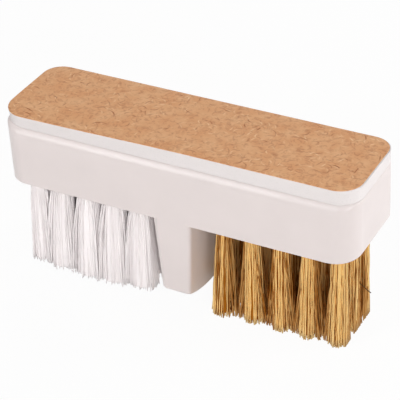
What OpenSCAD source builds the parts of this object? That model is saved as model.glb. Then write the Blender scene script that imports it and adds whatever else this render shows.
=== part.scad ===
// Cleaning brush with two kinds of bristle: nylon tufts on one half, brass wire tufts on the other.
// A moulded tongue keeps the halves apart, and a foam pad with a brown paper liner covers the top.
// Millimetres. +Z is up, the tips of the tufts stand on Z = 0, and the brass half lies towards +X.

/* [Handle block] */
// Length of the block
block_len = 100; // [90:1:120]
// Width of the block
block_w = 28; // [26.5:0.5:36]
// Height of the block above its tufted face
block_h = 17.3; // [14:0.1:24]
// Radius of the upright corners
corner_r = 6.2; // [4:0.1:9]
// Rounding of the two long upper edges
top_round = 2.2; // [1:0.1:4]
// Rounding of the two long lower edges
low_round = 0.4; // [0.2:0.1:1.5]

/* [Tongue between the halves] */
// How far the tongue stops short of the bristle tips, at mid width
tongue_short = 4.4; // [3:0.2:14]
// Rise of the tongue's rounded lower edge from mid width to its faces
tongue_rise = 3.2; // [1:0.2:4]
// Brass side of the tongue at its root, from mid length
tongue_brass_root = 5.5; // [4:0.1:7]
// Brass side of the tongue at its tip, from mid length
tongue_brass_tip = 4.5; // [3:0.1:6]
// Nylon side of the tongue at its root, from mid length
tongue_nylon_root = 6; // [4:0.1:7]
// Nylon side of the tongue at its tip, from mid length
tongue_nylon_tip = 3.8; // [3:0.1:6]
// Rounding of the tongue's upright edges on the brass side
tongue_brass_round = 1.2; // [0.3:0.1:2]
// Rounding of the tongue's upright edges on the nylon side
tongue_nylon_round = 2; // [0.5:0.1:2.4]

/* [Tufts] */
// Length of bristle that shows below the block
brush_reach = 29.2; // [22:0.1:40]
// Columns of tufts on each half
columns = 5; // [3:1:6]
// Diameter of a tuft hole
hole_d = 4.6; // [3.8:0.1:5.2]
// Depth of a tuft hole
hole_depth = 10; // [8:0.5:12]
// Wall between the tongue and the nearest holes
tongue_wall = 4.1; // [2:0.1:6]
// Wall between the last holes and the end of the block
end_wall = 4; // [2.5:0.1:6]
// Wall between the outer rows of holes and the long sides
side_wall = 4.4; // [3:0.1:5.5]
// Gap between the splayed tips of neighbouring nylon tufts
nylon_tip_gap = 1; // [0.2:0.1:2]
// Gap between the splayed tips of neighbouring brass tufts
brass_tip_gap = 2; // [0.2:0.1:3]
// Gap between the strands where they leave the hole
strand_gap = 0.15; // [0.1:0.05:0.25]
// Clearance of a tuft's root in its hole
tuft_fit = 0.05; // [0.02:0.01:0.1]

/* [Wire anchors] */
// Thickness of the flat wire that holds a tuft in its hole
anchor_t = 0.4; // [0.3:0.05:0.6]
// Height of the flat wire
anchor_h = 1.8; // [1.2:0.1:2.4]
// How far an anchor bites into the wall of the hole at each end
anchor_bite = 0.5; // [0.3:0.05:0.7]
// Height of the bristles folded over an anchor
fold_h = 1.2; // [0.8:0.1:2]
// Clearance around an anchor
anchor_fit = 0.05; // [0.02:0.01:0.1]

/* [Pad] */
// Thickness of the foam
foam_t = 3.6; // [2:0.1:6]
// Thickness of the paper liner
liner_t = 0.2; // [0.1:0.05:1]
// How far the pad's edge lies inside the block's outline
pad_inset = 0.1; // [0:0.05:1]

/* [Hidden] */
$fn = 64;
row_names = ["front", "middle", "back"];
rows = len(row_names);

// How far a strand runs up into the root, and how far a cutter overshoots a face
strand_embed = 1;
cut_over = 1;

// The block's lower and upper faces, and the height of the tongue's root inside it
low_z = brush_reach;
top_z = low_z + block_h;
tongue_root_z = low_z + 2 * low_round;

// The arc of the tongue's lower edge, through mid width and both faces
tongue_arc_r = (pow(block_w / 2, 2) + pow(tongue_rise, 2)) / (2 * tongue_rise);

// Places of the tufts, on the nylon half (side -1) and the brass half (side 1)
function first_x(side) = (side > 0 ? tongue_brass_root : tongue_nylon_root) + tongue_wall + hole_d / 2;
last_x = block_len / 2 - end_wall - hole_d / 2;
function pitch_x(side) = (last_x - first_x(side)) / (columns - 1);
outer_y = block_w / 2 - side_wall - hole_d / 2;
pitch_y = 2 * outer_y / (rows - 1);
function tuft_x(side, col) = side * (first_x(side) + col * pitch_x(side));
function tuft_y(row) = -outer_y + row * pitch_y;

// A tuft is one middle strand with an inner and an outer ring round it.
// Its square strands fill the root: across it lie five of them and four gaps.
inner_count = 4;
outer_count = 7;
root_sides = 12;
root_r = hole_d / 2 - tuft_fit;
root_flat = root_r * cos(180 / root_sides);
// Reach of an outer strand's corners from the middle, in strand widths
ring_corner = 2.55;
strand_w = (root_flat - tuft_fit - 2 * strand_gap) / ring_corner;
ring_step = strand_w + strand_gap;
tip_pitch = min(pitch_x(-1), pitch_x(1), pitch_y);
function splay(tip_gap) = (tip_pitch - tip_gap - strand_w) / (4 * ring_step);
// Turn of one tuft against the next, so that no two neighbours look alike
tuft_turn = 23;

anchor_top_z = low_z + hole_depth - fold_h;

function tuft_name(kind, row, col) = str(kind, "_tuft_", row_names[row], "_", col + 1);

// Rectangle with round corners
module rounded_rect(len, wid, r) {
  square([len - 2 * r, wid], center = true);
  square([len, wid - 2 * r], center = true);
  for (sx = [-1, 1], sy = [-1, 1])
    translate([sx * (len / 2 - r), sy * (wid / 2 - r)])
      circle(r);
}

// Slab of the block's outline, drawn in by inset
module outline_slab(inset, bottom, height) {
  translate([0, 0, bottom])
    linear_extrude(height)
      rounded_rect(block_len - 2 * inset, block_w - 2 * inset, corner_r - inset);
}

// The block seen from its end, with its rounded long edges
module end_section() {
  translate([0, block_h / 2])
    square([block_w - 2 * top_round, block_h], center = true);
  translate([-block_w / 2, low_round])
    square([block_w, block_h - low_round - top_round]);
  translate([low_round - block_w / 2, 0])
    square([block_w - 2 * low_round, block_h - top_round]);
  for (side = [-1, 1]) {
    translate([side * (block_w / 2 - top_round), block_h - top_round])
      circle(top_round);
    translate([side * (block_w / 2 - low_round), low_round])
      circle(low_round);
  }
}

// Extrudes a section in Y and Z along the block
module along_block(len) {
  rotate([90, 0, 90])
    linear_extrude(len, center = true)
      children();
}

// Uprights at the tongue's four corners, with their lower ends at z
module tongue_uprights(nylon_x, brass_x, z, height) {
  for (side = [-1, 1]) {
    translate([tongue_nylon_round - nylon_x, side * (block_w / 2 - tongue_nylon_round), z])
      cylinder(r = tongue_nylon_round, h = height, $fn = 32);
    translate([brass_x - tongue_brass_round, side * (block_w / 2 - tongue_brass_round), z])
      cylinder(r = tongue_brass_round, h = height, $fn = 32);
  }
}

// The tongue: drafted sides, rounded uprights, faces flush with the block, and an arched lower edge
module tongue() {
  intersection() {
    hull() {
      tongue_uprights(tongue_nylon_root, tongue_brass_root, low_z, tongue_root_z - low_z);
      tongue_uprights(tongue_nylon_tip, tongue_brass_tip, tongue_short - cut_over, cut_over);
    }
    translate([0, 0, tongue_short + tongue_arc_r])
      along_block(block_len)
        circle(tongue_arc_r, $fn = 180);
  }
}

// The flat wire across one hole, with room round it
module anchor(side, row, col, room = 0) {
  translate([tuft_x(side, col), tuft_y(row), anchor_top_z - anchor_h / 2])
    cube([hole_d + 2 * (anchor_bite + room), anchor_t + 2 * room, anchor_h + 2 * room], center = true);
}

module anchors(side) {
  for (row = [0:rows - 1], col = [0:columns - 1])
    anchor(side, row, col);
}

// One square strand from the root, at radius r and angle a, to its splayed tip on Z = 0
module strand(r, a, spread) {
  h = strand_w / 2;
  corners = [[-h, -h], [h, -h], [h, h], [-h, h]];
  function turned(p) = [p.x * cos(a) - p.y * sin(a), p.x * sin(a) + p.y * cos(a)];
  function ring(radius, z) = [for (c = corners) concat(turned(c + [radius, 0]), z)];
  sides = [for (i = [0:3]) let (j = (i + 1) % 4) each [[i, i + 4, j], [j, i + 4, j + 4]]];
  ends = [[0, 1, 2], [0, 2, 3], [4, 6, 5], [4, 7, 6]];
  polyhedron(concat(ring(r * spread, 0), ring(r, low_z + strand_embed)), concat(sides, ends));
}

// A tuft: its packed root, held in the hole round the anchor, and the strands that splay out of it
module tuft(side, row, col, tip_gap) {
  spread = splay(tip_gap);
  turn = tuft_turn * (row * columns + col);
  difference() {
    translate([tuft_x(side, col), tuft_y(row), 0]) {
      translate([0, 0, low_z])
        cylinder(r = root_r, h = hole_depth - tuft_fit, $fn = root_sides);
      strand(0, turn, spread);
      for (i = [0:inner_count - 1])
        strand(ring_step, turn + i * 360 / inner_count, spread);
      for (i = [0:outer_count - 1])
        strand(2 * ring_step, turn + i * 360 / outer_count, spread);
    }
    anchor(side, row, col, anchor_fit);
  }
}

// White moulded block with its tongue, the tuft holes and the bites of the anchors
module handle_block() {
  color("#e2d7d4")
    difference() {
      union() {
        intersection() {
          outline_slab(0, low_z, block_h);
          translate([0, 0, low_z])
            along_block(block_len + 2 * cut_over)
              end_section();
        }
        tongue();
      }
      for (side = [-1, 1], row = [0:rows - 1], col = [0:columns - 1]) {
        translate([tuft_x(side, col), tuft_y(row), low_z - cut_over])
          cylinder(d = hole_d, h = hole_depth + cut_over);
        anchor(side, row, col, anchor_fit);
      }
    }
}

// White foam glued to the top of the block
module foam_pad() {
  color("#e4dede")
    outline_slab(pad_inset, top_z, foam_t);
}

// Brown paper that covers the foam's sticky upper face until it is peeled off
module paper_liner() {
  color("#cd9a73")
    outline_slab(pad_inset, top_z + foam_t, liner_t);
}

// Flat wires that hold the nylon tufts
module nylon_anchors() {
  color("#b9b6ae")
    anchors(-1);
}

// Flat wires that hold the brass tufts
module brass_anchors() {
  color("#b9b6ae")
    anchors(1);
}

module nylon_tuft(row, col) {
  color("#efe9e7")
    tuft(-1, row, col, nylon_tip_gap);
}

module brass_tuft(row, col) {
  color("#c6965a")
    tuft(1, row, col, brass_tip_gap);
}

handle_block();
foam_pad();
paper_liner();
nylon_anchors();
brass_anchors();
for (row = [0:rows - 1], col = [0:columns - 1]) {
  nylon_tuft(row, col);
  brass_tuft(row, col);
}
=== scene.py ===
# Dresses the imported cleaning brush: moulded block, anchors, foam pad, paper liner, nylon and brass tufts.
import math
from itertools import product
from typing import NamedTuple

import bpy
import numpy as np
from mathutils import Matrix, Vector, noise


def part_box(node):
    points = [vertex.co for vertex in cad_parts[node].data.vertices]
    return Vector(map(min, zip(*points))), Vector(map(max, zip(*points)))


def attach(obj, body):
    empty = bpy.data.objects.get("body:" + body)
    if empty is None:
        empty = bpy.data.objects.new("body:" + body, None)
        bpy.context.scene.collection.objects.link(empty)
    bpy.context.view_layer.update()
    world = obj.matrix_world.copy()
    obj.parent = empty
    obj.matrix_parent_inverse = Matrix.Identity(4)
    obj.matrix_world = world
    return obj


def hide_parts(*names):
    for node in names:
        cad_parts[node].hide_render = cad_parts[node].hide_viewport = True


bl_info = {
    "name": "Cleaning brush",
    "version": (1, 0, 0),
    "blender": (4, 5, 0),
    "location": "View3D > Sidebar > Brush",
    "description": "Builds the looks of a cleaning brush with nylon and brass tufts over its packed model",
    "category": "Object",
}

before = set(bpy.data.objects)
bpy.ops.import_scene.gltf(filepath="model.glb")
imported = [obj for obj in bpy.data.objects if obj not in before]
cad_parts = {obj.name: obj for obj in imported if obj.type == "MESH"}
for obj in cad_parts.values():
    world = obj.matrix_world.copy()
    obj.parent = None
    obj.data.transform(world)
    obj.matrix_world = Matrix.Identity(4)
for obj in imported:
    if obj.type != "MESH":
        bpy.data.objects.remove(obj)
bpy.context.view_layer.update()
MM = 0.001
ROWS = ("front", "middle", "back")
# Columns of tufts are counted from the tongue outwards
COLUMNS = (1, 2, 3, 4, 5)


def linear(hex_colour):
    """The linear RGBA of an sRGB hex colour."""
    parts = [int(hex_colour[i:i + 2], 16) / 255 for i in (1, 3, 5)]
    return tuple(c / 12.92 if c <= 0.04045 else ((c + 0.055) / 1.055) ** 2.4 for c in parts) + (1.0,)


def length(name, description, millimetres):
    """A length property with its default in millimetres."""
    return bpy.props.FloatProperty(
        name=name, description=description, default=millimetres * MM, min=0, unit="LENGTH", precision=5
    )


def lengths(name, description, millimetres):
    """A property of several lengths, with their defaults in millimetres."""
    return bpy.props.FloatVectorProperty(
        name=name, description=description, default=[value * MM for value in millimetres],
        size=len(millimetres), unit="LENGTH", precision=5,
    )


def colour(name, description, hex_colour):
    """A colour property with its default as an sRGB hex value."""
    return bpy.props.FloatVectorProperty(
        name=name, description=description, default=linear(hex_colour), size=4, min=0, max=1, subtype="COLOR"
    )


def number(name, description, default, least):
    """A property that counts strands."""
    return bpy.props.IntProperty(name=name, description=description, default=default, min=least)


def strength(name, description, default, subtype="NONE"):
    """The strength of a light, in watts where its subtype is power."""
    return bpy.props.FloatProperty(
        name=name, description=description, default=default, min=0, subtype=subtype
    )


class BrushBlock(bpy.types.PropertyGroup):
    low_face: length("Tufted face", "Height of the block's lower face above the tips", 29.2)
    corner: length("Upper corner", "Radius of the upright corners at the top", 5.5)
    low_corners: lengths(
        "Lower corners", "Radii of the upright corners at the lower face, round from the back brass one",
        (3.5, 5.5, 6.2, 7),
    )
    top_round: length("Upper rounding", "Rounding of the long upper edges", 3.2)
    end_round: length("End rounding", "Rounding of the upper edges at both ends", 0.25)
    low_round: length("Lower rounding", "Rounding of the long lower edges", 0.25)
    low_end_round: length("Lower end rounding", "Rounding of the lower edges at both ends", 0.8)
    nylon_draft: length("Nylon end draft", "How far the nylon end draws in towards its lower edge", 0)
    brass_draft: length("Brass end draft", "How far the brass end draws in towards its lower edge", 0.3)
    tongue_rise: length("Tongue rise", "Rise of the tongue's arched lower edge at its faces", 3.2)
    tongue_nylon_root: length("Nylon side, root", "Nylon side of the tongue at its root", 6)
    tongue_nylon_tip: length("Nylon side, tip", "Nylon side of the tongue at its tip", 3.8)
    tongue_brass_root: length("Brass side, root", "Brass side of the tongue at its root", 5.5)
    tongue_brass_tip: length("Brass side, tip", "Brass side of the tongue at its tip", 4.5)
    tongue_nylon_round: length("Nylon edges", "Rounding of the tongue's uprights on the nylon side", 2)
    tongue_brass_round: length("Brass edges", "Rounding of the tongue's uprights on the brass side", 1.2)
    tongue_low_round: length("Tongue's lower edge", "Rounding round the tongue's lower edge", 0.5)
    hole: length("Hole", "Diameter of a tuft hole", 4.6)
    hole_depth: length("Hole depth", "Depth of hole that can be seen past the bristles", 4)
    plastic: colour("Plastic", "Moulded white plastic", "#dad0ce")


class BrushAnchors(bpy.types.PropertyGroup):
    wire: colour("Anchor wire", "Flat steel wire of the anchors", "#b4b1a9")


class BrushFoam(bpy.types.PropertyGroup):
    corner: length("Front brass corner", "Radius of the pad's front corner at the brass end", 6.1)
    nylon_corner: length("Front nylon corner", "Radius of the pad's front corner at the nylon end", 6.6)
    back_corner: length("Back corner", "Radius of the pad's back corners", 5.2)
    rim: length("Rim", "How far the foam's lower edge lies inside the block's long sides", 1.1)
    skew: length("Skew", "How far the front edge of the pad runs in towards the brass end", 0.7)
    dip: length("Dip", "How far the pad's front edge is pressed down at the nylon end", 0.3)
    waver: length("Waver", "Unevenness of the cut edges", 0.12)
    white: colour("Foam", "White closed-cell foam", "#dad4d3")


class BrushLiner(bpy.types.PropertyGroup):
    thickness: length("Thickness", "Thickness of the paper", 0.12)
    shift: length("Shift", "How far the paper stops short of the brass end", 0.4)
    paper: colour("Paper", "Brown of the paper", "#da9f70")
    fibre_light: colour("Light fibres", "Bleached fibres in the paper", "#f0c89c")
    fibre_dark: colour("Dark fibres", "Bark and dark fibres in the paper", "#944716")


class BrushNylon(bpy.types.PropertyGroup):
    root: length("Root", "Radius of a bundle where it leaves its hole", 2.05)
    thickness: length("Filament", "Diameter of a filament", 0.28)
    wander: length("Wander", "How far a tip strays from its place", 0.3)
    tip: lengths("Tips", "Height of the tips in each column", (2.35, 1.6, 1.15, 2.1, 2.45))
    spread: lengths("Spread", "Radius of a bundle at its tips", (4.1, 4.0, 4.0, 4.0, 3.0))
    lean: lengths("Lean", "Lean of a bundle along the block", (-0.7, -0.95, -1.35, -1.8, -0.6))
    bundled: number("Filaments", "Filaments in a tuft", 110, 12)
    loose: number("Loose filaments", "Filaments that stand out of a tuft", 80, 1)
    light: colour("Nylon", "Nylon filament", "#f9f3f3")
    dark: colour("Worn nylon", "Filaments with a duller tone", "#f5efef")


class BrushBrass(bpy.types.PropertyGroup):
    root: length("Root", "Radius of a bundle where it leaves its hole", 1.85)
    thickness: length("Wire", "Diameter of a wire", 0.34)
    wander: length("Wander", "How far a tip strays from its place", 0.16)
    spread: lengths("Spread", "Radius of a bundle at its tips", (3.1, 2.5, 2.5, 2.3, 2.4))
    lean: lengths("Lean", "Lean of a bundle along the block", (-0.8, 0.0, 0.0, -0.1, 0.0))
    crimp: length("Crimp", "Depth of the waves in a wire", 0.1)
    bundled: number("Wires", "Wires in a tuft", 100, 12)
    loose: number("Loose wires", "Wires that stand out of a tuft", 64, 1)
    light: colour("Bright brass", "Freshly drawn brass wire", "#fbd38d")
    # Besides tarnish, this colour paints the shade of the middle row, the loose wires and the tufts' middles
    dark: colour("Dull brass", "Tarnished brass wire", "#a26218")


class BrushStage(bpy.types.PropertyGroup):
    floor: colour("Floor", "Pale studio floor", "#f3f2f1")
    key: strength("Key light", "Power of the tall soft light before the nylon half", 2.4, "POWER")
    fill: strength("Fill light", "Power of the low soft light before the brass half", 2.5, "POWER")
    side: strength("Side light", "Power of the soft light beyond the brass end", 3.2, "POWER")
    back: strength("Back light", "Power of the soft light behind", 2, "POWER")
    horizon: strength("Horizon", "Strength of the even light from all sides", 0.05)
    zenith: strength("Zenith", "Strength of the even light from straight above", 0.4)


WHITE = (1.0, 1.0, 1.0, 1.0)
MIX_SHARE, MIX_FIRST, MIX_SECOND = 0, 6, 7  # inputs of a Mix node that mixes colours
DARK_TONE = 4  # at which a brass wire is all dark brown
DARK_SHARE = 0.15  # of the dull brass that such a wire still shows
FLOOR_WHITE = 0.94  # share of white in the floor that the camera and mirrors see


def add_node(tree, kind, inputs=None, **settings):
    """Adds a node with its settings. Its inputs are set, or linked to a socket or a node's first output."""
    node = tree.nodes.new("ShaderNode" + kind)
    for key, value in settings.items():
        setattr(node, key, value)
    for key, value in (inputs or {}).items():
        if isinstance(value, bpy.types.Node):
            value = next(socket for socket in value.outputs if socket.enabled)
        if isinstance(value, bpy.types.NodeSocket):
            tree.links.new(value, node.inputs[key])
        else:
            node.inputs[key].default_value = value
    return node


def new_material(finish, *colours):
    """A material named for its finish: a function that takes the node tree, the place on the piece by which
    patterns are drawn and the colours, adds the nodes, and gives back the shader."""
    material = bpy.data.materials.new(finish.__name__)
    material.use_nodes = True
    tree = material.node_tree
    tree.nodes.clear()
    place = add_node(tree, "TexCoord").outputs["Object"]
    shader = finish(tree, place, *(tuple(tint) for tint in colours))
    add_node(tree, "OutputMaterial", {"Surface": shader})
    return material


def dimmed(tint, share):
    """A colour brought down to a share of its light."""
    return tuple(share * channel for channel in tint[:3]) + (1.0,)


def moulded_polypropylene(tree, place, plastic):
    # Polypropylene from a fine matt mould: soft wide highlights and a slight unevenness of sheen.
    # Sink and flow clouds some 9 mm across
    cloud = add_node(tree, "TexNoise", {"Vector": place, "Scale": 1 / (9 * MM), "Detail": 3.0})
    # Mould grain, drawn at 0.7 mm because its real 0.05 mm wouldn't show
    grain = add_node(tree, "TexNoise", {"Vector": place, "Scale": 1 / (0.7 * MM), "Detail": 2.0})
    shade = add_node(
        tree, "Mix", {MIX_SHARE: cloud, MIX_FIRST: plastic, MIX_SECOND: dimmed(plastic, 0.93)},
        data_type="RGBA",
    )
    sheen = add_node(
        tree, "MapRange", {"Value": cloud, "From Min": 0.3, "From Max": 0.7, "To Min": 0.28, "To Max": 0.34}
    )
    bump = add_node(tree, "Bump", {"Height": grain, "Strength": 0.25, "Distance": 0.02 * MM})
    return add_node(
        tree, "BsdfPrincipled", {"Base Color": shade, "Roughness": sheen, "IOR": 1.49, "Normal": bump}
    )


def cut_eva_foam(tree, place, foam):
    # Closed-cell EVA cut with a blade: matt, with cut cells that catch small shadows, which are bumped and
    # also painted in as darker colour.
    # Cells, drawn 0.6 mm across because their real 0.2 mm wouldn't show
    cells = add_node(tree, "TexVoronoi", {"Vector": place, "Scale": 1 / (0.6 * MM)})
    # Drag of the blade, in patches some 2.5 mm across
    drag = add_node(tree, "TexNoise", {"Vector": place, "Scale": 1 / (2.5 * MM), "Detail": 4.0})
    pores = add_node(
        tree, "MapRange", {"Value": cells, "From Min": 0.0, "From Max": 0.35, "To Min": 1.0, "To Max": 0.0}
    )
    # Painted shade: the colour darkens in the middle of each cut cell, in patches of the blade's drag
    pore_depth_and_shade = add_node(tree, "Math", {0: pores, 1: drag}, operation="MULTIPLY")
    shade = add_node(
        tree, "Mix", {MIX_SHARE: pore_depth_and_shade, MIX_FIRST: foam, MIX_SECOND: dimmed(foam, 0.86)}, data_type="RGBA"
    )
    bump = add_node(tree, "Bump", {"Height": pore_depth_and_shade, "Strength": 0.4, "Distance": 0.12 * MM}, invert=True)
    return add_node(
        tree, "BsdfPrincipled", {"Base Color": shade, "Roughness": 0.85, "IOR": 1.48, "Normal": bump}
    )


class Fibres(NamedTuple):
    """One layer of the fibres in the paper. Lengths are in millimetres."""
    apart: float  # between the places that may hold a fibre
    size: float  # length of a fibre
    width: float  # at least 0.4, because the real 0.03 wouldn't show
    curl: float  # greatest curl of a fibre, per millimetre
    share: float  # of the places that hold a fibre
    strength: float  # how much of the fibre's colour shows


LIGHT_FIBRES = Fibres(apart=2, size=2.6, width=0.45, curl=0.5, share=0.9, strength=1.0)
DARK_FIBRES = Fibres(apart=2.4, size=3, width=0.45, curl=0.5, share=0.8, strength=0.8)
LONG_FIBRES = Fibres(apart=7, size=5, width=0.4, curl=0.25, share=0.6, strength=1.0)


def fibre_layer(tree, place, clump, fibres):
    """A mask of short curved fibres, one in each scattered cell, left out of all but a share of the cells and
    thinned between the clumps."""
    size = fibres.size * MM
    width = fibres.width * MM
    scale = 1 / (fibres.apart * MM)
    cells = add_node(tree, "TexVoronoi", {"Vector": place, "Scale": scale}, voronoi_dimensions="2D").outputs
    apart = add_node(tree, "VectorMath", {0: place, 1: cells["Position"]}, operation="SUBTRACT")
    chance = add_node(tree, "SeparateColor", {"Color": cells["Color"]}).outputs
    angle = add_node(tree, "Math", {0: chance["Red"], 1: 2 * math.pi}, operation="MULTIPLY")
    turned = add_node(tree, "VectorRotate", {"Vector": apart, "Angle": angle}, rotation_type="Z_AXIS")
    local = add_node(tree, "SeparateXYZ", {"Vector": turned}).outputs
    along = add_node(tree, "Math", {0: local["X"]}, operation="ABSOLUTE")
    square = add_node(tree, "Math", {0: along, 1: 2.0}, operation="POWER")
    # Each fibre has its own curl
    curl = add_node(tree, "Math", {0: chance["Blue"], 1: fibres.curl / MM}, operation="MULTIPLY")
    arch = add_node(tree, "Math", {0: square, 1: curl}, operation="MULTIPLY")
    off = add_node(tree, "Math", {0: local["Y"], 1: arch}, operation="SUBTRACT")
    beside = add_node(tree, "Math", {0: off}, operation="ABSOLUTE")
    # A fibre fades out towards its sides and its ends
    across = add_node(tree, "MapRange", {
        "Value": beside, "From Min": 0.0, "From Max": 0.6 * width, "To Min": 1.0, "To Max": 0.0,
    })
    ends = add_node(tree, "MapRange", {
        "Value": along, "From Min": 0.1 * size, "From Max": 0.5 * size, "To Min": 1.0, "To Max": 0.0,
    })
    drawn = add_node(tree, "Math", {0: across, 1: ends}, operation="MULTIPLY")
    kept = add_node(tree, "MapRange", {
        "Value": chance["Green"], "From Min": 0.0, "From Max": fibres.share,
        "To Min": fibres.strength, "To Max": 0.0,
    })
    shown = add_node(tree, "Math", {0: drawn, 1: kept}, operation="MULTIPLY")
    return add_node(tree, "Math", {0: shown, 1: clump}, operation="MULTIPLY")


def kraft_paper(tree, place, paper, light, dark):
    # Kraft paper from long unbleached fibres: matt brown, clouded, with curled light and dark fibres in it.
    # Other parts of the pattern, so that the layers of fibres differ
    second = add_node(tree, "Mapping", {"Vector": place, "Location": (0.31, 0.17, 0.0)}).outputs["Vector"]
    third = add_node(tree, "Mapping", {"Vector": place, "Location": (0.53, 0.29, 0.0)}).outputs["Vector"]
    # Clouds of fibre some 5 mm across
    cloud = add_node(tree, "TexNoise", {"Vector": place, "Scale": 1 / (5 * MM), "Detail": 4.0})
    clouded = add_node(
        tree, "MapRange", {"Value": cloud, "From Min": 0.35, "From Max": 0.75, "To Min": 0.0, "To Max": 0.42}
    )
    # Knots of fibre some 1.3 mm across
    knot = add_node(
        tree, "TexNoise", {"Vector": place, "Scale": 1 / (1.3 * MM), "Detail": 3.0, "Distortion": 1.0}
    )
    knotted = add_node(
        tree, "MapRange", {"Value": knot, "From Min": 0.48, "From Max": 0.75, "To Min": 0.0, "To Max": 0.44}
    )
    # Clumps of fibres some 6 mm across
    thick = add_node(tree, "TexNoise", {"Vector": place, "Scale": 1 / (6 * MM), "Detail": 1.0})
    clump = add_node(
        tree, "MapRange", {"Value": thick, "From Min": 0.38, "From Max": 0.62, "To Min": 0.15, "To Max": 1.2}
    )
    shade = paper
    for tone, mask in (
        (light, clouded),
        (dark, knotted),
        (light, fibre_layer(tree, place, clump, LIGHT_FIBRES)),
        (dark, fibre_layer(tree, second, clump, DARK_FIBRES)),
        (dark, fibre_layer(tree, third, clump, LONG_FIBRES)),
    ):
        shade = add_node(tree, "Mix", {MIX_SHARE: mask, MIX_FIRST: shade, MIX_SECOND: tone}, data_type="RGBA")
    bump = add_node(tree, "Bump", {"Height": knot, "Strength": 0.3, "Distance": 0.05 * MM})
    return add_node(tree, "BsdfPrincipled", {
        "Base Color": shade, "Roughness": 0.8, "IOR": 1.47, "Specular IOR Level": 0.3, "Normal": bump,
    })


def drawn_nylon(tree, place, light, dark):
    # Drawn nylon filament: milky white with a soft gloss, which shows the filaments as fine pale lines.
    tone = add_node(tree, "Attribute", attribute_name="tone").outputs["Fac"]
    # Scuffs along a filament, some 2 mm long
    scuff = add_node(tree, "TexNoise", {"Vector": place, "Scale": 1 / (2 * MM), "Detail": 2.0})
    shade = add_node(tree, "Mix", {MIX_SHARE: tone, MIX_FIRST: light, MIX_SECOND: dark}, data_type="RGBA")
    sheen = add_node(
        tree, "MapRange", {"Value": scuff, "From Min": 0.3, "From Max": 0.7, "To Min": 0.3, "To Max": 0.5}
    )
    return add_node(tree, "BsdfPrincipled", {
        "Base Color": shade, "Roughness": sheen, "IOR": 1.53,
        "Subsurface Weight": 0.1, "Subsurface Radius": (1.0, 1.0, 1.0), "Subsurface Scale": 0.2 * MM,
    })


def drawn_brass(tree, place, light, dark):
    # Drawn brass wire: bright streaks along the wires, with some duller, browner wires among them. The duller
    # tone of the middle row, of the loose wires and of the tufts' middles is painted shade.
    tone = add_node(tree, "Attribute", attribute_name="tone").outputs["Fac"]
    # Tarnish in patches some 3 mm long
    tarnish = add_node(tree, "TexNoise", {"Vector": place, "Scale": 1 / (3 * MM), "Detail": 3.0})
    patched = add_node(
        tree, "MapRange", {"Value": tarnish, "From Min": 0.3, "From Max": 0.7, "To Min": 0.42, "To Max": 0.62}
    )
    # Tarnish in random wires and patches, and painted shade where the tone is raised for the middle row,
    # loose wires and core
    tarnish_and_shade = add_node(tree, "Math", {0: patched, 1: tone}, operation="MULTIPLY")
    dulled = add_node(tree, "Mix", {MIX_SHARE: tarnish_and_shade, MIX_FIRST: light, MIX_SECOND: dark}, data_type="RGBA")
    bare = add_node(tree, "MapRange", {
        "Value": tone, "From Min": DARK_TONE - 1.0, "From Max": DARK_TONE, "To Min": 1.0, "To Max": 0.0,
    })
    brown = dimmed(dark, DARK_SHARE)
    shade = add_node(tree, "Mix", {MIX_SHARE: bare, MIX_FIRST: brown, MIX_SECOND: dulled}, data_type="RGBA")
    sheen = add_node(
        tree, "MapRange", {"Value": tarnish_and_shade, "From Min": 0.0, "From Max": 0.7, "To Min": 0.24, "To Max": 0.4}
    )
    return add_node(tree, "BsdfPrincipled", {"Base Color": shade, "Metallic": 1.0, "Roughness": sheen})


def rolled_steel_wire(tree, place, wire):
    # Flat steel wire from rolls: grey, with fine lines along the wire that break its highlight.
    # Roll lines 0.15 mm apart and 3 mm long, along X
    stretch = add_node(tree, "Mapping", {"Vector": place, "Scale": (0.05, 1.0, 1.0)})
    lines = add_node(tree, "TexNoise", {"Vector": stretch, "Scale": 1 / (0.15 * MM)})
    shade = add_node(
        tree, "Mix", {MIX_SHARE: lines, MIX_FIRST: wire, MIX_SECOND: dimmed(wire, 0.7)}, data_type="RGBA"
    )
    return add_node(tree, "BsdfPrincipled", {"Base Color": shade, "Metallic": 1.0, "Roughness": 0.38})


def seen_rays(tree):
    """1 for rays by which the camera, a mirror or glass sees the stage, 0 for those that light the brush."""
    ray = add_node(tree, "LightPath").outputs
    mirrored = add_node(
        tree, "Math", {0: ray["Is Glossy Ray"], 1: ray["Is Transmission Ray"]}, operation="MAXIMUM"
    )
    return add_node(tree, "Math", {0: ray["Is Camera Ray"], 1: mirrored}, operation="MAXIMUM")


def studio_floor(tree, place, floor):
    # Painted board: pale and matt. The camera and mirrors see it whitened, with the shadow still on it.
    # Marks of the paint roller some 40 mm across
    roller = add_node(tree, "TexNoise", {"Vector": place, "Scale": 1 / (40 * MM), "Detail": 2.0})
    shade = add_node(
        tree, "Mix", {MIX_SHARE: roller, MIX_FIRST: floor, MIX_SECOND: dimmed(floor, 0.98)}, data_type="RGBA"
    )
    board = add_node(tree, "BsdfDiffuse", {"Color": shade})
    white = add_node(tree, "Emission", {"Color": WHITE, "Strength": 1.0})
    share = add_node(tree, "Math", {0: seen_rays(tree), 1: FLOOR_WHITE}, operation="MULTIPLY")
    return add_node(tree, "MixShader", {0: share, 1: board, 2: white})


def new_mesh(name, vertices, faces):
    """A mesh of the given points and faces."""
    mesh = bpy.data.meshes.new(name)
    mesh.from_pydata([tuple(v) for v in vertices], [], [tuple(f) for f in faces])
    mesh.validate()
    return mesh


def add_object(name, data):
    """Puts a mesh, a lamp or a lens into the scene."""
    thing = bpy.data.objects.new(name, data)
    bpy.context.scene.collection.objects.link(thing)
    return thing


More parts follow.
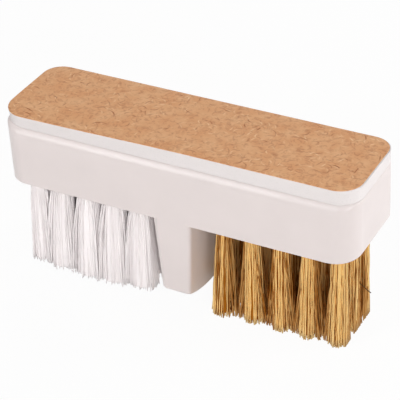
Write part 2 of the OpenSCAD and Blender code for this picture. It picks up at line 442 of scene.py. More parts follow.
def place_piece(name, mesh, material, slot, node):
    """A piece in place of a CAD node, riding on the brush."""
    piece = add_object(name, mesh)
    mesh.materials.clear()
    mesh.materials.append(material)
    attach(piece, "root")
    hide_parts(node)
    return piece


def make_piece(name, vertices, faces, material, slot, node):
    """A smooth piece of the given points and faces in place of a CAD node."""
    mesh = new_mesh(name, vertices, faces)
    mesh.shade_smooth()
    return place_piece(name, mesh, material, slot, node)


def stacked_rings(rings):
    """Vertices and side faces of rings with equal counts, from the lowest ring up."""
    count = len(rings[0])
    vertices = np.concatenate(rings)
    faces = []
    for low in range(0, len(vertices) - count, count):
        for i in range(count):
            j = (i + 1) % count
            faces.append((low + i, low + j, low + count + j, low + count + i))
    return vertices, faces


def closed_rings(rings):
    """Vertices and faces of stacked rings with a flat face over the lowest and the highest."""
    vertices, faces = stacked_rings(rings)
    count = len(rings[0])
    faces.append(tuple(reversed(range(count))))
    faces.append(tuple(range(len(vertices) - count, len(vertices))))
    return vertices, faces


def quarter_round(steps):
    """How far an edge rounded by 1 lies in from its upright face and its flat one, from the flat one on."""
    angles = [math.radians(90 - 90 / steps * i) for i in range(steps + 1)]
    return [(1 - math.cos(a), 1 - math.sin(a)) for a in angles]


CORNER_STEPS = 14  # faces round an upright corner of the block
HEM_STEPS = 5  # round a lower edge of it
EDGE_STEPS = 10  # round an upper edge
TONGUE_STEPS = 6  # round an edge of the tongue
HOLE_STEPS = 28  # round a tuft hole
ACROSS_POINTS = 13  # across a flat side of the tongue
TONGUE_RINGS = (0.8, 0.6, 0.4, 0.2, 0.0)  # shares of the way down from the tongue's root
TONGUE_OVERLAP = 1.5 * MM  # of the tongue and the block
PLUG_OVERLAP = MM  # by which the plugs that cut the holes stand out of the block
FADE = 3  # power by which a rounding fades as the outline turns round a corner
FEWEST_FACES = 500  # a block with all its holes has many more
SHARP_ANGLE = math.radians(32)  # between two faces, beyond which their edge is drawn sharp


def faded(least, most, facing):
    """A size that grows from least to most as the outline turns to face the way that facing measures."""
    return least + (most - least) * np.abs(facing) ** FADE


def block_outline(half_len, half_w, corners):
    """Points round the block, each with its outward direction, anticlockwise from the brass end. Corners are
    the radii of its back brass, back nylon, front nylon and front brass corners."""
    points = []
    for corner, sx, sy, start in zip(corners, (1, -1, -1, 1), (1, 1, -1, -1), (0, 90, 180, 270)):
        for i in range(CORNER_STEPS + 1):
            a = math.radians(start + 90 * i / CORNER_STEPS)
            points.append((
                sx * (half_len - corner) + corner * math.cos(a),
                sy * (half_w - corner) + corner * math.sin(a),
                math.cos(a),
                math.sin(a),
            ))
    return np.array(points)


def block_body(sizes, half_len, half_w, top):
    """The block without its tongue: rounded edges that fade out round the ends, and a little draft."""
    upper = block_outline(half_len, half_w, [sizes.corner] * 4)
    lower = block_outline(half_len, half_w, sizes.low_corners)
    low = sizes.low_face
    edge = faded(sizes.end_round, sizes.top_round, upper[:, 3])
    hem = faded(sizes.low_round, sizes.low_end_round, upper[:, 2])

    def ring(inset, z):
        depth = (top - z) / (top - low)
        outline = upper + (lower - upper) * depth[:, None]
        xy = outline[:, :2] - outline[:, 2:] * inset[:, None]
        draft = np.where(xy[:, 0] < 0, sizes.nylon_draft, sizes.brass_draft)
        x = xy[:, 0] * (1 - draft * depth / half_len)
        return np.stack([x, xy[:, 1], z], axis=1)

    rings = [ring(hem * inward, low + hem * up) for inward, up in quarter_round(HEM_STEPS)]
    rings += [ring(edge * inward, top - edge * down) for inward, down in reversed(quarter_round(EDGE_STEPS))]
    return closed_rings(rings)


def tongue_body(sizes, half_w, tip):
    """The tongue: drafted sides, rounded uprights and an arched, rounded lower edge."""
    root = sizes.low_face + TONGUE_OVERLAP
    arc = (half_w ** 2 + sizes.tongue_rise ** 2) / (2 * sizes.tongue_rise)

    def chain(rounding):
        """Distance in from the side and place across the block, from the front face to the back one."""
        bend = np.radians(np.linspace(0, 90, TONGUE_STEPS + 1))
        inward = rounding * (1 - np.sin(bend))
        across = rounding * (1 - np.cos(bend)) - half_w
        middle = np.linspace(rounding - half_w, half_w - rounding, ACROSS_POINTS)[1:-1]
        return (
            np.concatenate([inward, np.zeros(len(middle)), inward[::-1]]),
            np.concatenate([across, middle, -across[::-1]]),
        )

    chains = [chain(sizes.tongue_nylon_round), chain(sizes.tongue_brass_round)]

    def ring(down, inset, lift):
        sides = []
        for (inward, across), sign, at_root, at_tip in (
            (chains[0], -1, sizes.tongue_nylon_root, sizes.tongue_nylon_tip),
            (chains[1], 1, sizes.tongue_brass_root, sizes.tongue_brass_tip),
        ):
            y = across * (half_w - inset) / half_w
            floor = tip + arc - np.sqrt(arc ** 2 - y ** 2) + lift
            z = root + (floor - root) * down
            share = (root - z) / (root - tip)
            x = sign * (at_root + (at_tip - at_root) * share - inward - inset)
            sides.append(np.stack([x, y, z], axis=1))
        return np.concatenate([sides[1], sides[0][::-1]])

    rounding = sizes.tongue_low_round
    rings = [ring(1, rounding * inward, rounding * up) for inward, up in quarter_round(TONGUE_STEPS)]
    rings += [ring(down, 0, rounding) for down in TONGUE_RINGS]
    vertices, faces = stacked_rings(rings)
    # The ends are closed across, from one side to the other
    count = len(rings[0])
    for i in range(count // 2 - 1):
        low = (i, count - 1 - i, count - 2 - i, i + 1)
        faces.append(low)
        faces.append(tuple(len(vertices) - count + k for k in reversed(low)))
    return vertices, faces


def tuft_place(kind, row, column):
    """Where a CAD tuft's middle is, from its box."""
    low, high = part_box(f"{kind}_tuft_{row}_{column}")
    return (Vector(low) + Vector(high)) / 2


def tuft_holes(sizes):
    """Plugs that cut the tuft holes, each on its CAD tuft's place."""
    radius = sizes.hole / 2
    heights = (sizes.low_face - PLUG_OVERLAP, sizes.low_face + sizes.hole_depth)
    turns = [2 * math.pi * i / HOLE_STEPS for i in range(HOLE_STEPS)]
    vertices = []
    faces = []
    for kind, row, column in product(("nylon", "brass"), ROWS, COLUMNS):
        x, y = tuft_place(kind, row, column).xy
        plug, plug_faces = closed_rings([
            [(x + radius * math.cos(a), y + radius * math.sin(a), height) for a in turns]
            for height in heights
        ])
        first = len(vertices)
        vertices.extend(plug)
        faces.extend(tuple(first + k for k in face) for face in plug_faces)
    return vertices, faces


class BRUSH_OT_block(bpy.types.Operator):
    """Builds the moulded block with its tongue and tuft holes"""
    bl_idname = "brush.block"
    bl_label = "Moulded block"

    def execute(self, context):
        sizes = context.scene.brush_block
        low, high = (Vector(corner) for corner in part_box("handle_block"))
        half_len = (high.x - low.x) / 2
        half_w = (high.y - low.y) / 2
        shapes = {
            "body_maker": block_body(sizes, half_len, half_w, high.z),
            "tongue_maker": tongue_body(sizes, half_w, low.z),
            "hole_maker": tuft_holes(sizes),
        }
        makers = [add_object(name, new_mesh(name, *shape)) for name, shape in shapes.items()]
        body, tongue, holes = makers
        for operation, other in (("UNION", tongue), ("DIFFERENCE", holes)):
            step = body.modifiers.new(operation, "BOOLEAN")
            step.operation = operation
            step.solver = "EXACT"
            step.object = other
        made = body.evaluated_get(context.evaluated_depsgraph_get())
        mesh = bpy.data.meshes.new_from_object(made)
        for maker in makers:
            bpy.data.objects.remove(maker)
        if len(mesh.polygons) < FEWEST_FACES:
            raise RuntimeError("the block's holes and tongue weren't joined")
        mesh.shade_smooth()
        mesh.set_sharp_from_angle(angle=SHARP_ANGLE)
        plastic = new_material(moulded_polypropylene, sizes.plastic)
        piece = place_piece("moulded_block", mesh, plastic, "moulded_plastic", "handle_block")
        even = piece.modifiers.new("even_shading", "WEIGHTED_NORMAL")
        even.keep_sharp = True
        return {"FINISHED"}


class BRUSH_OT_anchors(bpy.types.Operator):
    """Finishes the flat wire anchors in the tuft holes"""
    bl_idname = "brush.anchors"
    bl_label = "Wire anchors"

    def execute(self, context):
        wire = new_material(rolled_steel_wire, context.scene.brush_anchors.wire)
        for name in ("nylon_anchors", "brass_anchors"):
            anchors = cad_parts[name].data
            anchors.materials.clear()
            anchors.materials.append(wire)
        return {"FINISHED"}


PAD_PROUD = 0.05 * MM  # by which the pad's outline lies outside its solid's
FOAM_CELL = 1.2 * MM  # size of the foam's faces
PAPER_CELL = 0.8 * MM  # size of the paper's faces
SLOW_WAVER = 14 * MM  # length of the slow waver of a cut edge
QUICK_WAVER = 3 * MM  # length of the quick one
QUICK_SHARE = 0.4  # depth of the quick one as a share of the slow one's
QUICK_LAYER = 7  # of the noise, for the quick one
WAVER_SHARE = 0.2  # mean depth of a cut edge, and of its waver, as a share of the unevenness
WAVER_SEEDS = {"front": 1, "back": 4, "nylon": 6, "brass": 10}
SKEW_SPAN = (-0.85, 0.2)  # where the front edge runs in, in half lengths of the pad
DIP_ALONG = (-1, 0.1)  # where the pad is pressed down, in half lengths
DIP_ACROSS = (0.3, 1)  # the same in half widths, towards the front
# Loops round the foam's hollow side: share of the way down it, depth of the hollow in millimetres
FOAM_SIDE = ((0.03, 0.0), (0.25, 0.08), (0.5, 0.12), (0.75, 0.08), (0.93, 0.0))
FOAM_CHAMFER = 0.1 * MM  # round the foam's upper and lower face
UNDER_INSET = 0.3 * MM  # of the foam's underside at the ends
RIM_GAP = 0.03 * MM  # between the foam's lower rim and the block
PAPER_SIDE = (0.3, 0.7)  # loops round the paper's edge, as shares of its thickness
PAPER_CHAMFER = 0.03 * MM  # round the paper's upper face
PAPER_GAP = 0.005 * MM  # between the paper and the foam
PAPER_DEPTH = 0.015 * MM  # of the paper's upper face below the top of its solid
SWELL_HEIGHT = 0.012 * MM  # of the swells in the paper
SWELL_LENGTH = 6 * MM


def smooth_step(low, high, value):
    """A smooth rise from 0 at low to 1 at high."""
    t = min(1, max(0, (value - low) / (high - low)))
    return t * t * (3 - 2 * t)


def cut_edge(waver, along, seed):
    """How far a cut edge lies in, at a place along it."""
    slow = noise.noise(Vector((along / SLOW_WAVER, seed, 0)))
    quick = noise.noise(Vector((along / QUICK_WAVER, seed, QUICK_LAYER)))
    return waver * (WAVER_SHARE + WAVER_SHARE * (slow + QUICK_SHARE * quick))


def pad_size():
    """Half the length and half the width of the pad's outline."""
    low, high = (Vector(corner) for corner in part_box("foam_pad"))
    return (high.x - low.x) / 2 + PAD_PROUD, (high.y - low.y) / 2 + PAD_PROUD


def pad_grid(foam, cell, front, back, ends):
    """Points over the pad in columns along it. Its edges lie in by front and back, each worked out from the
    place along the pad and the share of the corner that is left there, and by ends. They are cut unevenly."""
    half_len, half_w = pad_size()
    corner = foam.corner
    straight = 2 * (half_len - corner)
    inner = np.linspace(-straight / 2, straight / 2, max(3, int(straight / cell)))
    # A quarter turn is some 1.6 times as long as its radius
    bend = np.radians(np.linspace(0, 90, max(9, int(corner * 1.6 / cell))))[1:]
    outer = straight / 2 + corner * np.sin(bend)
    xs = np.concatenate([-outer[::-1], inner, outer])
    rows = np.linspace(-1, 1, max(3, int(2 * half_w / cell)))
    grid = np.zeros((len(xs), len(rows), 3))
    for i, x in enumerate(xs):
        if x < 0:
            half, turn_in, end_in = "nylon", foam.nylon_corner, ends[0]
        else:
            half, turn_in, end_in = "brass", corner, ends[1]
        edges = []
        for side, turn, inset in (("front", turn_in, front), ("back", foam.back_corner, back)):
            past = max(0, abs(x) - half_len + turn) / turn
            left = math.sqrt(max(0, 1 - past ** 2))
            uneven = cut_edge(foam.waver, x, WAVER_SEEDS[side])
            edges.append(half_w - turn + turn * left - inset(x, left) - uneven)
        nearer, further = edges
        for j, t in enumerate(rows):
            y = t * (nearer if t < 0 else further)
            end = cut_edge(foam.waver, y, WAVER_SEEDS[half]) + end_in
            grid[i, j] = (x * (1 - end / half_len), y, 0)
    return grid


def top_grid(foam, cell, shift):
    """Points over the pad's upper face. Its front edge runs in, and it ends by shift before the brass end."""
    half_len = pad_size()[0]

    def skewed(x, left):
        return foam.skew * smooth_step(*SKEW_SPAN, x / half_len)

    def straight(x, left):
        return 0

    return pad_grid(foam, cell, skewed, straight, (0, shift))


def pressed(foam, grid):
    """How far the pad is pressed down at each point: most along the front edge at the nylon end."""
    half_len, half_w = pad_size()
    return np.array([
        [
            foam.dip * (1 - smooth_step(*DIP_ALONG, x / half_len)) * smooth_step(*DIP_ACROSS, -y / half_w)
            for x, y, z in column
        ]
        for column in grid
    ])


def grid_faces(columns, rows):
    """Faces over a grid of points in column order."""
    index = np.arange(columns * rows).reshape(columns, rows)
    corners = [index[:-1, :-1], index[1:, :-1], index[1:, 1:], index[:-1, 1:]]
    return np.stack(corners, axis=-1).reshape(-1, 4).tolist()


def edge_of_grid(grid):
    """Indices of the grid's rim, anticlockwise, into its points in column order."""
    columns, rows = grid.shape[:2]
    index = np.arange(columns * rows).reshape(columns, rows)
    return np.concatenate([index[:, 0], index[-1, 1:], index[-2::-1, -1], index[0, -2:0:-1]])


def slab(top, bottom, loops):
    """A closed slab from an upper and a lower grid of points, with loops of points round its rim between."""
    columns, rows = top.shape[:2]
    count = columns * rows
    edge = edge_of_grid(top)
    vertices = np.concatenate([top.reshape(count, 3), bottom.reshape(count, 3), *loops])
    faces = []
    for quad in grid_faces(columns, rows):
        faces.append(quad)
        faces.append([count + k for k in reversed(quad)])
    between = [2 * count + n * len(edge) + np.arange(len(edge)) for n in range(len(loops))]
    chain = [edge, *between, count + edge]
    for upper, lower in zip(chain[:-1], chain[1:]):
        for k in range(len(edge)):
            m = (k + 1) % len(edge)
            faces.append((lower[k], lower[m], upper[m], upper[k]))
    return vertices, faces


def rim_of(grid):
    """The points round a grid's rim and the outward direction at each."""
    points = grid.reshape(-1, 3)[edge_of_grid(grid)]
    along = np.roll(points, -1, axis=0) - np.roll(points, 1, axis=0)
    outward = np.stack([along[:, 1], -along[:, 0], np.zeros(len(points))], axis=1)
    return points, outward / np.linalg.norm(outward, axis=1)[:, None]


class BRUSH_OT_foam(bpy.types.Operator):
    """Builds the foam pad with its cut edge"""
    bl_idname = "brush.foam"
    bl_label = "Foam pad"

    def execute(self, context):
        foam = context.scene.brush_foam
        block = context.scene.brush_block
        low = Vector(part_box("foam_pad")[0])
        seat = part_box("paper_liner")[1][2] - context.scene.brush_liner.thickness

        # The lower rim is drawn over the block's rounded edge, and the middle lies flat on the block
        def rim(x, left):
            return foam.rim * left ** 2

        def flat(x, left):
            return block.top_round * left ** 2

        top = top_grid(foam, FOAM_CELL, 0)
        under = pad_grid(foam, FOAM_CELL, flat, flat, (UNDER_INSET, UNDER_INSET))
        hem = pad_grid(foam, FOAM_CELL, rim, rim, (0, 0))
        top[:, :, 2] = seat - pressed(foam, top)
        under[:, :, 2] = low.z
        upper, outward = rim_of(top)
        lower = rim_of(hem)[0]
        edge = faded(block.end_round, block.top_round, outward[:, 1])
        inset = np.minimum(edge, faded(0, foam.rim, outward[:, 1]))
        lower[:, 2] = low.z - edge + np.sqrt(edge ** 2 - (edge - inset) ** 2) + RIM_GAP
        loops = [upper + (lower - upper) * share - outward * hollow * MM for share, hollow in FOAM_SIDE]
        loops.append(lower - outward * FOAM_CHAMFER)
        top.reshape(-1, 3)[edge_of_grid(top)] -= outward * FOAM_CHAMFER
        eva = new_material(cut_eva_foam, foam.white)
        pad = make_piece("foam_slab", *slab(top, under, loops), eva, "foam", "foam_pad")
        return {"FINISHED"}


class BRUSH_OT_liner(bpy.types.Operator):
    """Builds the paper liner, which follows the foam pad's outline and its dip"""
    bl_idname = "brush.liner"
    bl_label = "Paper liner"

    def execute(self, context):
        foam = context.scene.brush_foam
        liner = context.scene.brush_liner
        liner_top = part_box("paper_liner")[1][2]
        top = top_grid(foam, PAPER_CELL, liner.shift)
        swell = [[noise.noise(Vector((x, y, 0)) / SWELL_LENGTH) for x, y, z in column] for column in top]
        dip = pressed(foam, top)
        under = top.copy()
        under[:, :, 2] = liner_top - liner.thickness - dip + PAPER_GAP
        top[:, :, 2] = liner_top - PAPER_DEPTH - dip + SWELL_HEIGHT * np.clip(swell, -1, 1)
        upper, outward = rim_of(top)
        loops = [upper - np.array([0, 0, share * liner.thickness]) for share in PAPER_SIDE]
        top.reshape(-1, 3)[edge_of_grid(top)] -= outward * PAPER_CHAMFER
        paper = new_material(kraft_paper, liner.paper, liner.fibre_light, liner.fibre_dark)
        sheet = make_piece("paper_sheet", *slab(top, under, loops), paper, "kraft_paper", "paper_liner")
        return {"FINISHED"}


class Bundle(NamedTuple):
    """How the strands of one kind of tuft stand."""
    kind: str
    slot: str
    seed: int  # of the random draws, to which a tuft adds its own
    trim: float  # unevenness of the cut tips
    sway: float  # unevenness of the lean from tuft to tuft
    opening: float  # power of the reach by which the bundle splays
    wave: float  # length of the bends in a strand
    reach: float  # of the furthest loose tips from the middle of their tuft
    turns: tuple  # least and most turn of loose strands from the row, inward in an outer row, in degrees
    loose_opening: float  # power of the reach by which they leave the tuft: the smaller, the sooner
    before: tuple  # how far loose tips may lie outside the tufts' places towards -X and -Y, in millimetres
    beyond: tuple  # the same towards +X and +Y
    core_share: float  # reach of the tuft's solid middle as a share of its strands'
    # Tone of the middle; on brass it is dark brown, as painted shade inside the bundle
    core_tone: float
    core_rise: float  # height of its end above the tips


NYLON = Bundle(
    kind="nylon", slot="nylon_filament", seed=100, trim=0.25 * MM, sway=0.15 * MM, opening=0.55, wave=16 * MM,
    reach=5.2 * MM, turns=(-45, 15), loose_opening=0.3, before=(2.3, 4), beyond=(3.1, 4),
    core_share=0.94, core_tone=0.5, core_rise=0.3 * MM,
)
BRASS = Bundle(
    kind="brass", slot="brass_wire", seed=300, trim=0.14 * MM, sway=0.1 * MM, opening=0.85, wave=9 * MM,
    reach=4.2 * MM, turns=(-20, 50), loose_opening=0.9, before=(2.3, 2.3), beyond=(2.3, 2.3),
    # A core tone of 3 paints the brass tuft's middle dark brown: painted shade inside the bundle
    core_share=0.86, core_tone=3, core_rise=1.2 * MM,
)
NYLON_CRIMP = 0.05 * MM  # depth of the bends in a filament
NYLON_LOWEST = 0.1 * MM  # that a filament reaches
# Of the tones of brass wires, 0 is bright and 2 is dull
TARNISHED_SHARE = 0.2  # of a tuft's wires
TARNISHED_TONE = 1.5  # least tone of these
BRIGHT_RANGE = 0.2  # of the tones of the others
MIDDLE_ROW_SHADE = 0.35  # painted shade, added in the middle row, which shows in the shaded gaps between the front tufts
LOOSE_SHADE_TONE = 0.9  # least tone of loose wires: painted shade, as they stand back in the gaps between tufts
LOOSE_RANGE = 0.8  # of their tones
# Last points of the dark wire that is bent out of the end tuft, in millimetres
BENT_WIRE = (
    (43.4, 5.8, 16.2), (43.5, 5.1, 15.1), (44.8, 3.1, 13.7),
    (45.6, 2.7, 12.6), (46.7, 3.4, 11.1), (47.8, 4.1, 9.6),
)
HOLLOW = 0.35  # share of a bundle's section that the strands leave to its middle
GOLDEN_ANGLE = math.radians(137.508)  # from each strand to the next
ROOT_JITTER = 0.04 * MM  # of the strands in the hole
STRAY_SHARE = 0.04  # of the strands
STRAY_REACH = 2.5  # of these, in wanders
BOW = 0.5  # of a strand, in wanders
# Heights along a strand as shares of what shows of it, the first one inside the hole
LEVELS = np.array([-0.07, 0.0, 0.1, 0.2, 0.3, 0.4, 0.5, 0.6, 0.7, 0.8, 0.9, 1.0])
STRAND_SIDES = 5
CORE_SIDES = 26  # of a tuft's middle
CORE_PERCENTILE = 92  # of the strands' reach, by which the middle is sized
FLUTE = 0.06  # depth of its flutes as a share of its reach
CORE_END = ((0.8, 0.1), (0.4, 0.2))  # rings that close its end: share of its reach, drop in mm
END_RING = 0.2 * MM  # height above its end of the ring next to it


def each_tuft(bundle):
    """Each tuft of a kind: its row, its column, its place in lists by column, and its own random draws."""
    for r, row in enumerate(ROWS):
        for c, column in enumerate(COLUMNS):
            yield row, column, c, np.random.default_rng(bundle.seed + 10 * r + column)


def tip_field(bundle):
    """Lowest and highest place, across the brush, of the loose tips of one half."""
    corners = product((ROWS[0], ROWS[-1]), (COLUMNS[0], COLUMNS[-1]))
    places = np.array([tuft_place(bundle.kind, *corner).xy for corner in corners])
    lowest = places.min(axis=0) - np.array(bundle.before) * MM
    return lowest, places.max(axis=0) + np.array(bundle.beyond) * MM


def strand_paths(rng, bundle, sizes, c, middle, crimp, low_face, tips):
    """Centre lines of a tuft's strands, from inside the hole to their tips."""
    lean = np.array([sizes.lean[c], 0]) + rng.normal(0, bundle.sway, 2)
    count = len(tips)
    order = np.arange(count)
    radius = sizes.root * np.sqrt(HOLLOW + (1 - HOLLOW) * (order + 0.5) / count)
    angle = order * GOLDEN_ANGLE + rng.uniform(0, 2 * math.pi)
    root = np.stack([radius * np.cos(angle), radius * np.sin(angle)], axis=1)
    root += rng.normal(0, ROOT_JITTER, root.shape)
    tip = root * sizes.spread[c] / sizes.root + lean + rng.normal(0, sizes.wander, root.shape)
    stray = rng.random(count) < STRAY_SHARE
    tip += stray[:, None] * rng.normal(0, STRAY_REACH * sizes.wander, root.shape)
    bow = rng.normal(0, BOW * sizes.wander, root.shape)
    out = np.clip(LEVELS, 0, 1)
    turn = rng.uniform(0, 2 * math.pi, (2, count))
    phase = 2 * math.pi * out[None, :] * low_face / bundle.wave + turn[0][:, None]
    # The bends reach their full depth a quarter of the way down
    bend = crimp * np.minimum(1, 4 * out)[None, :] * np.sin(phase)
    wave = np.stack([bend * np.cos(turn[1])[:, None], bend * np.sin(turn[1])[:, None]], axis=2)
    xy = (
        root[:, None, :]
        + (tip - root)[:, None, :] * (out ** bundle.opening)[None, :, None]
        + bow[:, None, :] * np.sin(math.pi * out)[None, :, None]
        + wave
    )
    z = low_face + (tips[:, None] - low_face) * LEVELS[None, :]
    place = np.array([middle.x, middle.y])
    return np.concatenate([xy + place, z[:, :, None]], axis=2)


def loose_paths(rng, bundle, sizes, row, c, paths, field):
    """Copies of a tuft's strands that stand out to its sides, between it and its neighbours. They leave the
    tuft below the hole, and field bounds their tips."""
    count = sizes.loose
    picked = paths[rng.integers(0, len(paths), count)]
    side = rng.choice([-1, 1], count)
    # Every row makes this draw, and only the middle one uses it
    either = rng.choice([-1, 1], count)
    inward = {"front": np.ones(count), "middle": either, "back": -np.ones(count)}[row]
    turn = np.radians(rng.uniform(*bundle.turns, count))
    away = np.stack([side * np.cos(turn), inward * np.sin(turn)], axis=1)
    away = away * rng.uniform(sizes.spread[c], bundle.reach, (count, 1))
    tip = np.clip(paths[:, -1, :2].mean(axis=0) + away, *field)
    level = np.arange(len(LEVELS))
    fall = (np.clip(level - 1, 0, None) / (level[-1] - 1)) ** bundle.loose_opening
    moved = picked.copy()
    moved[:, :, :2] += (tip - picked[:, -1, :2])[:, None, :] * fall[None, :, None]
    return moved


def strand_skin(paths, diameter):
    """Vertices and faces of round strands along their centre lines."""
    count, levels = paths.shape[:2]
    a = 2 * np.pi * np.arange(STRAND_SIDES) / STRAND_SIDES
    ring = diameter / 2 * np.stack([np.cos(a), np.sin(a), np.zeros(STRAND_SIDES)], axis=1)
    vertices = (paths[:, :, None, :] + ring[None, None, :, :]).reshape(-1, 3)
    index = np.arange(len(vertices)).reshape(count, levels, STRAND_SIDES)
    after = np.roll(index, -1, axis=2)
    quads = np.stack([index[:, 1:], after[:, 1:], after[:, :-1], index[:, :-1]], axis=-1).reshape(-1, 4)
    return vertices, [*quads.tolist(), *index[:, 0].tolist(), *index[:, -1, ::-1].tolist()]


def tuft_core(paths, share, stop):
    """The middle of a tuft, whose strands can't be told apart: a fluted body up to a share of their reach."""
    rings = []
    for level in range(paths.shape[1]):
        points = paths[:, level]
        middle = points.mean(axis=0)
        reach = share * np.percentile(np.linalg.norm((points - middle)[:, :2], axis=1), CORE_PERCENTILE)
        a = 2 * np.pi * (np.arange(CORE_SIDES) + 0.5 * (level % 2)) / CORE_SIDES
        flute = reach * (1 - FLUTE * (np.arange(CORE_SIDES) % 2))
        ring = middle + np.stack([flute * np.cos(a), flute * np.sin(a), np.zeros(CORE_SIDES)], axis=1)
        ring[:, 2] = np.maximum(ring[:, 2], stop)
        rings.append(ring)
    last = rings[-1]
    # A ring close above the end keeps the shading of the side straight down to it
    rings.insert(-1, last + np.array([0, 0, END_RING]))
    foot = last.mean(axis=0)
    for close, drop in CORE_END:
        ring = foot + (last - foot) * close
        ring[:, 2] = stop - drop * MM
        rings.append(ring)
    return closed_rings(rings[::-1])


def make_tuft(bundle, row, column, paths, loose, diameter, material, tones, tip):
    """Builds one tuft of its bundled and its loose strands, whose tones are given in that order."""
    vertices, faces = strand_skin(np.concatenate([paths, loose]), diameter)
    core, core_faces = tuft_core(paths, bundle.core_share, tip + bundle.core_rise)
    first = len(vertices)
    faces.extend(tuple(first + k for k in face) for face in core_faces)
    name = f"{bundle.kind}_bristles_{row}_{column}"
    node = f"{bundle.kind}_tuft_{row}_{column}"
    piece = make_piece(name, np.concatenate([vertices, core]), faces, material, bundle.slot, node)
    # The sides are smooth and the cut ends flat
    piece.data.polygons.foreach_set("use_smooth", [len(face) == 4 for face in faces])
    per_strand = np.repeat(tones, first // len(tones))
    per_point = np.concatenate([per_strand, np.full(len(core), bundle.core_tone)]).astype(np.float32)
    piece.data.attributes.new("tone", "FLOAT", "POINT").data.foreach_set("value", per_point)


class BRUSH_OT_nylon(bpy.types.Operator):
    """Builds the fifteen nylon tufts"""
    bl_idname = "brush.nylon"
    bl_label = "Nylon tufts"

    def execute(self, context):
        sizes = context.scene.brush_nylon
        low_face = context.scene.brush_block.low_face
        nylon = new_material(drawn_nylon, sizes.light, sizes.dark)
        field = tip_field(NYLON)
        for row, column, c, rng in each_tuft(NYLON):
            tips = np.clip(rng.normal(sizes.tip[c], NYLON.trim, sizes.bundled), NYLON_LOWEST, None)
            middle = tuft_place("nylon", row, column)
            paths = strand_paths(rng, NYLON, sizes, c, middle, NYLON_CRIMP, low_face, tips)
            loose = loose_paths(rng, NYLON, sizes, row, c, paths, field)
            tones = rng.random(sizes.bundled + sizes.loose)
            make_tuft(NYLON, row, column, paths, loose, sizes.thickness, nylon, tones, sizes.tip[c])
        return {"FINISHED"}


class BRUSH_OT_brass(bpy.types.Operator):
    """Builds the fifteen brass tufts"""
    bl_idname = "brush.brass"
    bl_label = "Brass tufts"

    def execute(self, context):
        sizes = context.scene.brush_brass
        low_face = context.scene.brush_block.low_face
        brass = new_material(drawn_brass, sizes.light, sizes.dark)
        field = tip_field(BRASS)
        for row, column, c, rng in each_tuft(BRASS):
            at_end = column == COLUMNS[-1]
            tips = np.abs(rng.normal(0, BRASS.trim, sizes.bundled))
            middle = tuft_place("brass", row, column)
            paths = strand_paths(rng, BRASS, sizes, c, middle, sizes.crimp, low_face, tips)
            loose = loose_paths(rng, BRASS, sizes, row, c, paths, field)
            bundled = rng.random(sizes.bundled)
            bundled = np.where(bundled < TARNISHED_SHARE, TARNISHED_TONE + bundled, BRIGHT_RANGE * bundled)
            # Painted shade on the middle row, seen in the shaded gaps between the front tufts
            if row == "middle" and not at_end:
                bundled += MIDDLE_ROW_SHADE
            # The loose wires' duller tone is painted shade
            tones = np.concatenate([bundled, LOOSE_SHADE_TONE + LOOSE_RANGE * rng.random(sizes.loose)])
            if row == "back" and at_end:
                loose[0, -len(BENT_WIRE):] = np.array(BENT_WIRE) * MM
                tones[sizes.bundled] = DARK_TONE
            make_tuft(BRASS, row, column, paths, loose, sizes.thickness, brass, tones, 0)
        return {"FINISHED"}


FLOOR_REACH = 2.0  # in metres, to each side
FLOOR_LINES = 9  # of points, each way
# Each soft box: degrees from the front to the brass end and above the floor, width and height in metres
LAMPS = {
    "key": (-28, 28, 0.2, 0.5),
    "fill": (40, 18, 0.35, 0.35),
    "side": (115, 18, 0.4, 0.4),
    "back": (205, 15, 0.35, 0.35),
}
LAMP_AIM = Vector((0, 0, 0.03))
LAMP_DISTANCE = 0.75  # in metres, from the aim
# The camera, as fitted to the photograph: angles in degrees and lengths in millimetres
CAMERA_AZIMUTH = 28.463
CAMERA_ELEVATION = 33.254
CAMERA_ROLL = -2.22
CAMERA_DISTANCE = 425.5
CAMERA_AIM = (2.145, -1.944, 29.429)
CAMERA_LENS = 147.6
CAMERA_SENSOR = 36
CAMERA_NEAR = 10  # nearest distance that is drawn


def direction(azimuth, elevation):
    """Direction from the brush. Azimuth runs from the front towards the brass end."""
    flat = math.cos(elevation)
    return Vector((flat * math.sin(azimuth), -flat * math.cos(azimuth), math.sin(elevation)))


def camera_place():
    """Placement of the camera: its turn round the brush, its height, its roll, and how far off its aim is."""
    azimuth = math.radians(CAMERA_AZIMUTH)
    roll = math.radians(CAMERA_ROLL)
    right = Vector((math.cos(azimuth), math.sin(azimuth), 0))
    back = direction(azimuth, math.radians(CAMERA_ELEVATION))
    up = back.cross(right)
    x = math.cos(roll) * right + math.sin(roll) * up
    y = math.cos(roll) * up - math.sin(roll) * right
    turn = Matrix((x, y, back)).transposed().to_4x4()
    return Matrix.Translation(Vector(CAMERA_AIM) * MM + CAMERA_DISTANCE * MM * back) @ turn


def soft_light(name, azimuth, elevation, width, height, power):
    """Adds a soft box that faces the brush."""
    lamp = bpy.data.lights.new(name, "AREA")
    lamp.shape = "RECTANGLE"
    lamp.size = width
    lamp.size_y = height
    lamp.energy = power
    light = add_object(name, lamp)
    light.location = LAMP_AIM + LAMP_DISTANCE * direction(math.radians(azimuth), math.radians(elevation))
    light.rotation_euler = (LAMP_AIM - light.location).to_track_quat("-Z", "Y").to_euler()


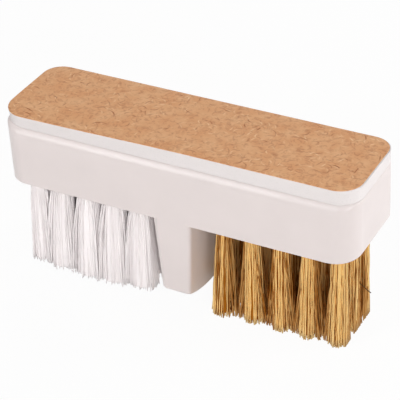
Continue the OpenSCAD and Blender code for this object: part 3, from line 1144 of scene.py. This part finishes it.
class BRUSH_OT_stage(bpy.types.Operator):
    """Adds the pale floor, the soft lights and the camera"""
    bl_idname = "brush.stage"
    bl_label = "Stage"

    def execute(self, context):
        stage = context.scene.brush_stage
        lines = np.linspace(-FLOOR_REACH, FLOOR_REACH, FLOOR_LINES)
        points = [(x, y, 0) for x in lines for y in lines]
        floor = add_object("floor", new_mesh("floor", points, grid_faces(FLOOR_LINES, FLOOR_LINES)))
        floor.data.materials.append(new_material(studio_floor, stage.floor))

        world = bpy.data.worlds.new("studio")
        world.use_nodes = True
        tree = world.node_tree
        tree.nodes.clear()
        toward = add_node(tree, "TexCoord").outputs["Generated"]
        height = add_node(tree, "SeparateXYZ", {"Vector": toward}).outputs["Z"]
        level = add_node(tree, "MapRange", {
            "Value": height, "From Min": 0.0, "From Max": 1.0,
            "To Min": stage.horizon, "To Max": stage.zenith,
        })
        even = add_node(tree, "Background", {"Color": WHITE, "Strength": level})
        white = add_node(tree, "Background", {"Color": WHITE, "Strength": 1.0})
        mixed = add_node(tree, "MixShader", {0: seen_rays(tree), 1: even, 2: white})
        add_node(tree, "OutputWorld", {"Surface": mixed})
        context.scene.world = world

        for name, place in LAMPS.items():
            soft_light(name, *place, getattr(stage, name))

        lens = bpy.data.cameras.new("camera")
        lens.lens = CAMERA_LENS
        lens.sensor_width = CAMERA_SENSOR
        lens.clip_start = CAMERA_NEAR * MM
        camera = add_object("camera", lens)
        camera.matrix_world = camera_place()
        context.scene.camera = camera
        context.scene.view_settings.view_transform = "Standard"
        return {"FINISHED"}


class BRUSH_PT_panel(bpy.types.Panel):
    """Lists the pieces of the brush"""
    bl_idname = "BRUSH_PT_panel"
    bl_label = "Cleaning brush"
    bl_space_type = "VIEW_3D"
    bl_region_type = "UI"
    bl_category = "Brush"

    def draw(self, context):
        for name, operator in zip(GROUPS, OPERATORS):
            box = self.layout.box()
            sizes = getattr(context.scene, name)
            for key in sizes.bl_rna.properties.keys():
                if key not in ("rna_type", "name"):
                    box.prop(sizes, key)
            box.operator(operator.bl_idname)


# Each group of sizes has one operator, in the same order
GROUPS = {
    "brush_block": BrushBlock,
    "brush_anchors": BrushAnchors,
    "brush_foam": BrushFoam,
    "brush_liner": BrushLiner,
    "brush_nylon": BrushNylon,
    "brush_brass": BrushBrass,
    "brush_stage": BrushStage,
}
OPERATORS = (
    BRUSH_OT_block, BRUSH_OT_anchors, BRUSH_OT_foam, BRUSH_OT_liner,
    BRUSH_OT_nylon, BRUSH_OT_brass, BRUSH_OT_stage,
)


def register():
    for name, group in GROUPS.items():
        bpy.utils.register_class(group)
        setattr(bpy.types.Scene, name, bpy.props.PointerProperty(type=group))
    for operator in OPERATORS:
        bpy.utils.register_class(operator)
    bpy.utils.register_class(BRUSH_PT_panel)


def unregister():
    bpy.utils.unregister_class(BRUSH_PT_panel)
    for operator in reversed(OPERATORS):
        bpy.utils.unregister_class(operator)
    for name, group in GROUPS.items():
        delattr(bpy.types.Scene, name)
        bpy.utils.unregister_class(group)


def main():
    register()
    bpy.ops.brush.block()
    bpy.ops.brush.anchors()
    bpy.ops.brush.foam()
    bpy.ops.brush.liner()
    bpy.ops.brush.nylon()
    bpy.ops.brush.brass()
    bpy.ops.brush.stage()


if __name__ == "__main__":
    main()
